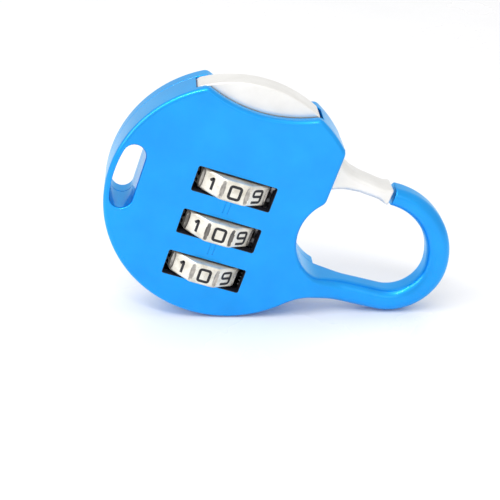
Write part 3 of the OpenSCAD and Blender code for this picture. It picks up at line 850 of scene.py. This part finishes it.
def resample(loop, gap):
    """Adds points on long straight stretches."""
    out = []
    for i, p in enumerate(loop):
        q = loop[(i + 1) % len(loop)]
        n = max(1, int(math.dist(p, q) / gap))
        out += [(p[0] + (q[0] - p[0]) * k / n, p[1] + (q[1] - p[1]) * k / n) for k in range(n)]
    return out


# ---- dials

L, R, T, B = -0.5, 0.5, 0.5, -0.5
# strokes of each digit in a unit square; True closes the stroke
GLYPHS = {
    0: [([(L, B), (R, B), (R, T), (L, T)], True)],
    1: [([(-0.28, 0.2), (0.06, T), (0.06, B)], False)],
    2: [([(L, T), (R, T), (R, 0), (L, 0), (L, B), (R, B)], False)],
    3: [([(L, T), (R, T), (R, B), (L, B)], False), ([(L, 0), (R, 0)], False)],
    4: [([(0.22, B), (0.22, T), (L, -0.2), (R, -0.2)], False)],
    5: [([(R, T), (L, T), (L, 0), (R, 0), (R, B), (L, B)], False)],
    6: [([(R, T), (L, T), (L, B), (R, B), (R, 0), (L, 0)], False)],
    7: [([(L, T), (R, T), (-0.1, B)], False)],
    8: [([(L, B), (R, B), (R, T), (L, T)], True), ([(L, 0), (R, 0)], False)],
    9: [([(L, B), (R, B), (R, T), (L, T), (L, 0), (R, 0)], False)],
}


def offset_line(points, distance, closed):
    """The line moved sideways by this distance."""
    pts = [np.array(p, float) for p in points]
    n = len(pts)
    out = []
    for i, p in enumerate(pts):
        before = pts[i] - pts[i - 1] if closed or i > 0 else pts[1] - pts[0]
        after = pts[(i + 1) % n] - pts[i] if closed or i < n - 1 else before
        a = np.array([before[1], -before[0]]) / np.linalg.norm(before)
        b = np.array([after[1], -after[0]]) / np.linalg.norm(after)
        out.append(tuple(p + distance * (a + b) / (1 + a @ b)))
    return out


def stroke(shape, line, closed, facet, height):
    """One painted stroke of a digit as a thin raised solid on its facet."""
    line = soften(line, 0.42, closed, 6)
    outer, inner = offset_line(line, STROKE / 2, closed), offset_line(line, -STROKE / 2, closed)
    right, normal = facet
    low, high = DIAL_IN_R - INK_T / 2, DIAL_IN_R + INK_T / 2

    def lift(p, r):
        return (DIAL_U + right[0] * p[0] + normal[0] * r, right[1] * p[0] + normal[1] * r, height + p[1])

    n = len(line)
    for i in range(n if closed else n - 1):
        k = (i + 1) % n
        quad = [outer[i], outer[k], inner[k], inner[i]]
        for r, way in ((high, 1), (low, -1)):
            face_to = (normal[0] * way, normal[1] * way, 0)
            shape.face([shape.point(lift(q, r)) for q in quad], [face_to] * 4, 1)
        for a, b, way in ((outer[i], outer[k], 1), (inner[i], inner[k], -1)):
            wall(shape, lift, a, b, low, high, right, way)
    if not closed:
        wall(shape, lift, inner[0], outer[0], low, high, right, 1)
        wall(shape, lift, outer[-1], inner[-1], low, high, right, 1)


def wall(shape, lift, a, b, low, high, right, way):
    """Edge face of a stroke, which faces right of the way from a to b, or left."""
    du, dw = (b[0] - a[0]) * way, (b[1] - a[1]) * way
    out = (right[0] * dw, right[1] * dw, -du)
    corners = (lift(a, low), lift(b, low), lift(b, high), lift(a, high))
    shape.face([shape.point(p) for p in corners], [out] * 4, 1)


def dial_profile():
    """Rows of the dial's outside from bottom to top: height and inset of the edge chamfer."""
    half = DIAL_H / 2
    rows = [(-half, DIAL_CHAMFER), (-half + 0.06, DIAL_CHAMFER * 0.62), (-half + DIAL_CHAMFER, 0.02)]
    rows += [(h, 0) for h in np.linspace(-half + 0.4, half - 0.4, 13)]
    return rows + [(half - DIAL_CHAMFER, 0.02), (half - 0.06, DIAL_CHAMFER * 0.62), (half, DIAL_CHAMFER)]


def dial_columns():
    """Angles round the dial, closer together across the grooves at the corners."""
    step = 360 / DIAL_SIDES
    groove = math.degrees(GROOVE_HALF / DIAL_IN_R)
    columns = []
    for k in range(DIAL_SIDES):
        corner = k * step + step / 2
        columns += [k * step + a for a in (-step / 4, 0, step / 4)]
        columns += [corner + groove * s for s in (-1.15, -1, -0.75, -0.4, 0, 0.4, 0.75, 1, 1.15)]
    return sorted(columns)


def dial_radius(angle, height, inset):
    """Distance of the dial's surface from its axis: flat facets, with a groove at each corner."""
    step = 360 / DIAL_SIDES
    off = (angle + step / 2) % step - step / 2
    flat = (DIAL_IN_R - inset) / math.cos(math.radians(off))
    across = math.radians(step / 2 - abs(off)) * DIAL_IN_R / GROOVE_HALF
    share = max(0, 1 - (height / GROOVE_REACH) ** 2)
    reach = max(0.18, math.sqrt(share))
    if across < reach:
        return flat - GROOVE_DEPTH * reach * (1 - (across / reach) ** 2)
    return flat


def shade_grooves(shape, rows):
    """Gives the faces inside the grooves the groove material, which paints shade into them."""
    columns = dial_columns()
    step, half = 360 / DIAL_SIDES, DIAL_H / 2
    for j in range(len(rows) - 1):
        height = (rows[j][0][2] + rows[j + 1][0][2] - rows[0][0][2] - rows[-1][0][2]) / 2
        reach = math.sqrt(max(0, 1 - (height / GROOVE_REACH) ** 2))
        for k in range(len(columns)):
            angle = columns[k] + (columns[(k + 1) % len(columns)] - columns[k]) % 360 / 2
            off = abs((angle + step / 2) % step - step / 2)
            across = math.radians(step / 2 - off) * DIAL_IN_R / GROOVE_HALF
            if across < reach and abs(height) < half - DIAL_CHAMFER:
                shape.slots[j * len(columns) + k] = 2


def dial_ring(i, radius, columns, height):
    """Circle round a dial's axis, one point for each column."""
    return [(DIAL_U + radius * math.sin(math.radians(a)), -radius * math.cos(math.radians(a)),
             DIAL_W[i] + height) for a in columns]


def dial(i):
    """Number ring with its painted digits; 0 faces the front."""
    shape = Shape()
    rows = []
    columns = dial_columns()
    for height, inset in dial_profile():
        row = []
        for angle in columns:
            r = dial_radius(angle, height, inset)
            a = math.radians(angle)
            row.append((DIAL_U + r * math.sin(a), -r * math.cos(a), DIAL_W[i] + height))
        rows.append(row)
    ids = grid(shape, rows, wrap=True)
    shade_grooves(shape, rows)
    half = DIAL_H / 2
    for ring, level, way in ((ids[0], -half, -1), (ids[-1], half, 1)):
        bore = [shape.point(p) for p in dial_ring(i, DIAL_BORE, columns, level)]
        for k in range(len(columns)):
            q = (k + 1) % len(columns)
            shape.face([ring[k], ring[q], bore[q], bore[k]], [(0, 0, way)] * 4)
    bores = [dial_ring(i, DIAL_BORE, columns, level) for level in (-half, half)]
    grid(shape, bores, wrap=True)
    flip_last(shape, len(columns))
    for k in range(DIAL_SIDES):
        phi = math.radians(-360 / DIAL_SIDES * k)
        facet = ((math.cos(phi), math.sin(phi)), (math.sin(phi), -math.cos(phi)))
        for line, closed in GLYPHS[k]:
            scaled = [(x * DIGIT_W, y * DIGIT_H) for x, y in line]
            stroke(shape, scaled, closed, facet, DIAL_W[i])
    # the third material is the grooves' painted shade
    obj = shape.build(f"dial_{i + 1}_numbers", [dial_metal(i), ink(), painted_groove_shade(i)])
    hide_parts(f"dial_{i + 1}")
    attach(obj, f"dial_{i + 1}")


def flip_last(shape, count):
    """Turns the last faces inside out, for the wall of a bore."""
    for k in range(len(shape.faces) - count, len(shape.faces)):
        shape.faces[k] = shape.faces[k][::-1]
        shape.normals[k] = [tuple(-x for x in v) for v in shape.normals[k][::-1]]


# ---- materials

def surface(name, colour, **sockets):
    """A material with a Principled shader; what is even over the surface is set on its sockets."""
    material = bpy.data.materials.new(name)
    material.use_nodes = True
    shader = material.node_tree.nodes["Principled BSDF"]
    shader.inputs["Base Color"].default_value = (*colour, 1)
    for socket, value in sockets.items():
        shader.inputs[socket.replace("_", " ")].default_value = value
    return material, material.node_tree.nodes, material.node_tree.links, shader


def noise(nodes, links, scale, detail=4.0, stretch=None):
    """Noise in the object's own coordinates; scale is in features per metre."""
    place = nodes.new("ShaderNodeTexCoord")
    node = nodes.new("ShaderNodeTexNoise")
    node.inputs["Scale"].default_value = scale
    node.inputs["Detail"].default_value = detail
    source = place.outputs["Object"]
    if stretch:
        mapping = nodes.new("ShaderNodeMapping")
        mapping.inputs["Scale"].default_value = stretch
        links.new(source, mapping.inputs["Vector"])
        source = mapping.outputs["Vector"]
    links.new(source, node.inputs["Vector"])
    return node.outputs["Fac"]


def ramp(nodes, links, source, low, high, start=0.3, end=0.7):
    """Turns a value into a colour or, with grey ends, into a roughness."""
    node = nodes.new("ShaderNodeValToRGB")
    first, second = node.color_ramp.elements
    first.position, second.position = start, end
    first.color = (*low, 1) if isinstance(low, tuple) else (low, low, low, 1)
    second.color = (*high, 1) if isinstance(high, tuple) else (high, high, high, 1)
    links.new(source, node.inputs["Fac"])
    return node.outputs["Color"]


def bump(nodes, links, shader, source, strength, depth):
    node = nodes.new("ShaderNodeBump")
    node.inputs["Strength"].default_value = strength
    node.inputs["Distance"].default_value = depth
    links.new(source, node.inputs["Height"])
    links.new(node.outputs["Normal"], shader.inputs["Normal"])


def blue_paint(name):
    """Glossy metallic paint: soft mottling, fine flake and a clear coat."""
    material, nodes, links, shader = surface(
        name, (0.02, 0.36, 0.9), Metallic=0.85, Coat_Weight=0.45, Coat_Roughness=0.05,
        Specular_Tint=(0.5, 1.0, 1.0, 1.0))
    mottle = ramp(nodes, links, noise(nodes, links, 160, 3), (0.004, 0.31, 0.83), (0.006, 0.355, 0.91))
    links.new(mottle, shader.inputs["Base Color"])
    flake = noise(nodes, links, 9000, 2)
    links.new(ramp(nodes, links, flake, 0.3, 0.42), shader.inputs["Roughness"])
    bump(nodes, links, shader, flake, 0.08, 0.00002)
    return material


def painted_shade_inside():
    """Near-black bare metal inside the shells and on the window walls, darkened to painted shade."""
    material, nodes, links, shader = surface("painted_shade_inside", (0.01, 0.012, 0.02), Metallic=0.1)
    grain = noise(nodes, links, 1500)
    tint = ramp(nodes, links, grain, (0.006, 0.007, 0.014), (0.016, 0.018, 0.03))
    links.new(tint, shader.inputs["Base Color"])
    links.new(ramp(nodes, links, grain, 0.35, 0.55), shader.inputs["Roughness"])
    return material


def satin_silver():
    """Satin plating with faint cloudiness and a fine brushed grain along the lever."""
    material, nodes, links, shader = surface("satin_silver", (0.85, 0.84, 0.81), Metallic=0.75)
    cloud = noise(nodes, links, 220, 5)
    tint = ramp(nodes, links, cloud, (0.80, 0.79, 0.76), (0.90, 0.89, 0.865))
    links.new(tint, shader.inputs["Base Color"])
    grain = noise(nodes, links, 2500, 3, (1, 1, 6))
    links.new(ramp(nodes, links, grain, 0.3, 0.44), shader.inputs["Roughness"])
    bump(nodes, links, shader, grain, 0.06, 0.00002)
    return material


def dial_metal(i):
    """Cream-tinted plating, brushed along the facets, with patches rubbed darker by use."""
    material, nodes, links, shader = surface(f"dial_metal_{i + 1}", (0.8, 0.77, 0.67), Metallic=0.45)
    wear = noise(nodes, links, 420 + 35 * i, 6)
    links.new(ramp(nodes, links, wear, (0.62, 0.58, 0.49), (0.86, 0.83, 0.74), 0.32, 0.56),
              shader.inputs["Base Color"])
    grain = noise(nodes, links, 3000, 3, (1, 1, 5))
    links.new(ramp(nodes, links, grain, 0.26, 0.46), shader.inputs["Roughness"])
    bump(nodes, links, shader, grain, 0.1, 0.00002)
    return material


def painted_groove_shade(i):
    """Painted shade in the grooves between the facets, darkest on the middle dial, a little uneven."""
    dark = (0.42, 0.16, 0.42)[i]
    material, nodes, links, shader = surface(f"groove_{i + 1}", (dark, dark, dark), Metallic=0.5)
    shade_noise = noise(nodes, links, 900, 5)
    low, high = (dark * 0.6, dark * 0.58, dark * 0.54), (dark * 1.7, dark * 1.6, dark * 1.45)
    links.new(ramp(nodes, links, shade_noise, low, high), shader.inputs["Base Color"])
    links.new(ramp(nodes, links, shade_noise, 0.3, 0.5), shader.inputs["Roughness"])
    return material


def ink():
    """Black filling of the digits, a little uneven."""
    material, nodes, links, shader = surface("digit_ink", (0.008, 0.008, 0.01))
    grain = noise(nodes, links, 2600)
    tint = ramp(nodes, links, grain, (0.004, 0.004, 0.006), (0.016, 0.016, 0.02))
    links.new(tint, shader.inputs["Base Color"])
    links.new(ramp(nodes, links, grain, 0.4, 0.62), shader.inputs["Roughness"])
    return material


def metal(name, low, high, rough, stretch):
    """Bare metal with drawn or turned grain."""
    material, nodes, links, shader = surface(name, high, Metallic=1.0)
    cloud = noise(nodes, links, 500, 4)
    links.new(ramp(nodes, links, cloud, low, high), shader.inputs["Base Color"])
    grain = noise(nodes, links, 3500, 3, stretch)
    links.new(ramp(nodes, links, grain, rough - 0.08, rough + 0.1), shader.inputs["Roughness"])
    bump(nodes, links, shader, grain, 0.12, 0.00002)
    return material


def bright_steel():
    return metal("bright_steel", (0.62, 0.62, 0.61), (0.74, 0.74, 0.73), 0.26, (1, 6, 1))


def inner_materials():
    """Materials of the CAD parts that stay: works inside the lock."""
    drawn = metal("drawn_steel", (0.46, 0.47, 0.48), (0.62, 0.63, 0.64), 0.3, (1, 1, 0.2))
    stamped = metal("stamped_steel", (0.4, 0.41, 0.43), (0.56, 0.57, 0.59), 0.38, (4, 1, 1))
    spring = metal("spring_wire", (0.34, 0.35, 0.37), (0.5, 0.51, 0.53), 0.24, (1, 1, 1))
    brass = metal("turned_brass", (0.55, 0.4, 0.16), (0.72, 0.55, 0.25), 0.3, (1, 1, 7))
    plated = metal("plated_button", (0.62, 0.62, 0.61), (0.74, 0.74, 0.73), 0.28, (1, 1, 7))
    kept = {"lever_pin": drawn, "dial_shaft": drawn, "shaft_clips": stamped, "locking_bar": stamped,
            "detent_screws": drawn, "detent_spring": spring, "lever_spring": spring,
            "bar_spring": spring, "shaft_spring": spring, "reset_plunger": plated,
            "tumbler_1": brass, "tumbler_2": brass, "tumbler_3": brass}
    for name, material in kept.items():
        mesh = frame["nodes"][name].data
        mesh.materials.clear()
        mesh.materials.append(material)


# ---- stage, light and camera

def floor():
    """Pale, slightly glossy tabletop."""
    half = 1.5
    mesh = bpy.data.meshes.new("floor")
    corners = [(-half, -half, 0), (half, -half, 0), (half, half, 0), (-half, half, 0)]
    mesh.from_pydata(corners, [], [(0, 1, 2, 3)])
    material, nodes, links, shader = surface("pale_floor", (0.9, 0.9, 0.9))
    grain = noise(nodes, links, 30)
    tint = ramp(nodes, links, grain, (0.9, 0.9, 0.91), (0.93, 0.93, 0.94))
    links.new(tint, shader.inputs["Base Color"])
    links.new(ramp(nodes, links, grain, 0.22, 0.3), shader.inputs["Roughness"])
    mesh.materials.append(material)
    obj = bpy.data.objects.new("floor", mesh)
    obj.location.z = -0.0001
    bpy.context.scene.collection.objects.link(obj)


def softbox(name, place, aim, size, power):
    data = bpy.data.lights.new(name, "AREA")
    data.shape = "RECTANGLE"
    data.size, data.size_y = size
    data.energy = power
    obj = bpy.data.objects.new(name, data)
    obj.location = place
    obj.rotation_euler = (Vector(aim) - Vector(place)).to_track_quat("-Z", "Y").to_euler()
    bpy.context.scene.collection.objects.link(obj)


def lights():
    """White surroundings with a large soft box above and one at the left."""
    world = bpy.data.worlds.new("white_room")
    world.use_nodes = True
    world.node_tree.nodes["Background"].inputs["Color"].default_value = (1, 1, 1, 1)
    world.node_tree.nodes["Background"].inputs["Strength"].default_value = 0.9
    bpy.context.scene.world = world
    bpy.context.scene.view_settings.view_transform = "Standard"
    middle = (0, 0, 0.02)
    softbox("top_box", (-0.05, -0.05, 0.4), middle, (0.35, 0.3), 0.2)
    softbox("left_box", (-0.4, -0.12, 0.25), middle, (0.2, 0.3), 0.5)
    softbox("strip_box", (-0.12, -0.16, 0.34), middle, (0.34, 0.035), 0.45)
    softbox("front_box", (0.15, -0.45, 0.2), middle, (0.3, 0.2), 0.12)


def camera():
    """Camera at the photograph's angle. Its numbers are for a lock that leans LEAN degrees
    further than this one stands, so the whole camera turns back by that about the disc."""
    azimuth, elevation, lean = (math.radians(a) for a in (AZIMUTH, ELEVATION, LEAN))
    distance, aim = VIEW_DISTANCE * BODY_R, Vector([x * BODY_R for x in VIEW_AIM])
    back = Vector((math.sin(azimuth) * math.cos(elevation), -math.cos(azimuth) * math.cos(elevation),
                   math.sin(elevation)))
    right = Vector((math.cos(azimuth), math.sin(azimuth), 0))
    up = right.cross(-back)
    turn = Matrix((right, up, back)).transposed().to_4x4()
    place = Matrix.Translation((aim + back * distance) * 0.001)
    face = ORIGIN + Vector((0, Y_FRONT * 0.001, 0))
    data = bpy.data.cameras.new("camera")
    data.lens, data.sensor_width = LENS, 36
    data.clip_start, data.clip_end = 0.01, 10
    obj = bpy.data.objects.new("camera", data)
    obj.matrix_world = Matrix.Translation(face) @ Matrix.Rotation(lean, 4, "Y") @ place @ turn
    bpy.context.scene.collection.objects.link(obj)
    bpy.context.scene.camera = obj


camera()
front_housing()
back_cover()
cover_rivets()
lever()
for number in range(3):
    dial(number)
inner_materials()
floor()
lights()
